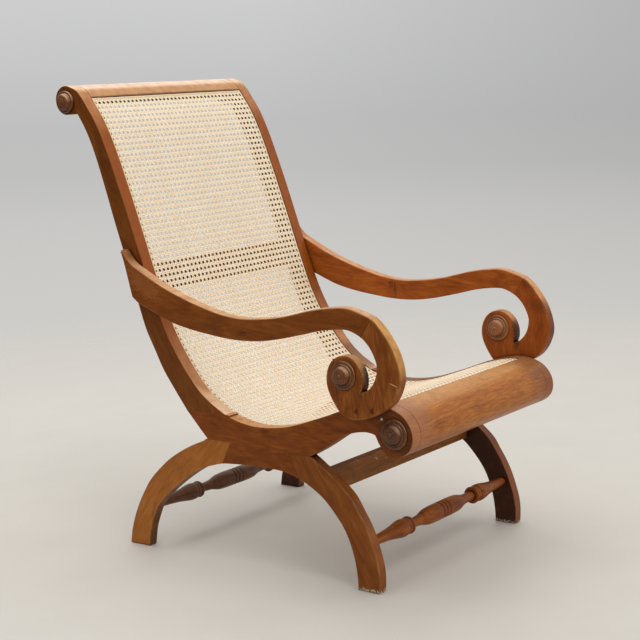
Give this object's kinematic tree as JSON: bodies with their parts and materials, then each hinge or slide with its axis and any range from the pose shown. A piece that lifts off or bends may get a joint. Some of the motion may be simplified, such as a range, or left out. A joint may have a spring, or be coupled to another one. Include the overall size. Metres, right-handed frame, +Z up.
{
  "type": "planters chair",
  "caption": "Low reclining chair of dark sawn wood with scrolled arms, arched legs, turned stretchers and one run of woven cane for seat and back.",
  "frame": {"origin": "on the floor, under the middle of the chair's outer box", "axes": "+Z up, the chair faces -Y, X runs across it with the sitter's right at -X"},
  "size_m": [0.6402, 0.8838, 0.9798],
  "materials": {
    "hub_wood": "satin shellac, worn",
    "stile_wood": "satin shellac, worn",
    "leg_wood": "satin shellac, worn",
    "arm_wood": "satin shellac, worn",
    "roll_wood": "satin shellac",
    "turned_wood": "satin shellac",
    "inner_wood": "matte, unpolished",
    "dowel_wood": "raw",
    "cane": "woven split cane, satin",
    "pin_metal": "dull"
  },
  "bodies": {
    "root": {"back_stile_right": "stile_wood", "seat_board_right": "hub_wood", "rear_leg_right": "leg_wood", "front_leg_right": "leg_wood", "arm_rail_right": "arm_wood", "arm_scroll_right": "arm_wood", "cane_rail_upper_right": "inner_wood", "cane_rail_lower_right": "inner_wood", "cane_binder_right": "cane", "scroll_boss_outer_right": "turned_wood", "scroll_boss_inner_right": "turned_wood", "crest_boss_right": "turned_wood", "roll_boss_right": "turned_wood", "scarf_dowel_right": "dowel_wood", "rear_leg_dowel_right": "dowel_wood", "front_leg_dowel_right": "dowel_wood", "arm_rear_dowel_right": "dowel_wood", "arm_front_dowel_right": "dowel_wood", "arm_joint_dowel_right": "dowel_wood", "seat_pin_right": "pin_metal", "back_stile_left": "stile_wood", "seat_board_left": "hub_wood", "rear_leg_left": "leg_wood", "front_leg_left": "leg_wood", "arm_rail_left": "arm_wood", "arm_scroll_left": "arm_wood", "cane_rail_upper_left": "inner_wood", "cane_rail_lower_left": "inner_wood", "cane_binder_left": "cane", "scroll_boss_outer_left": "turned_wood", "scroll_boss_inner_left": "turned_wood", "crest_boss_left": "turned_wood", "roll_boss_left": "turned_wood", "scarf_dowel_left": "dowel_wood", "rear_leg_dowel_left": "dowel_wood", "front_leg_dowel_left": "dowel_wood", "arm_rear_dowel_left": "dowel_wood", "arm_front_dowel_left": "dowel_wood", "arm_joint_dowel_left": "dowel_wood", "seat_pin_left": "pin_metal", "crest_rail": "roll_wood", "front_roll": "roll_wood", "mid_back_rail": "inner_wood", "front_cross_rail": "inner_wood", "front_stretcher": "turned_wood", "rear_stretcher": "turned_wood", "cane_panel": "cane", "crest_binder": "cane", "roll_binder": "cane"}
  },
  "joints": []
}
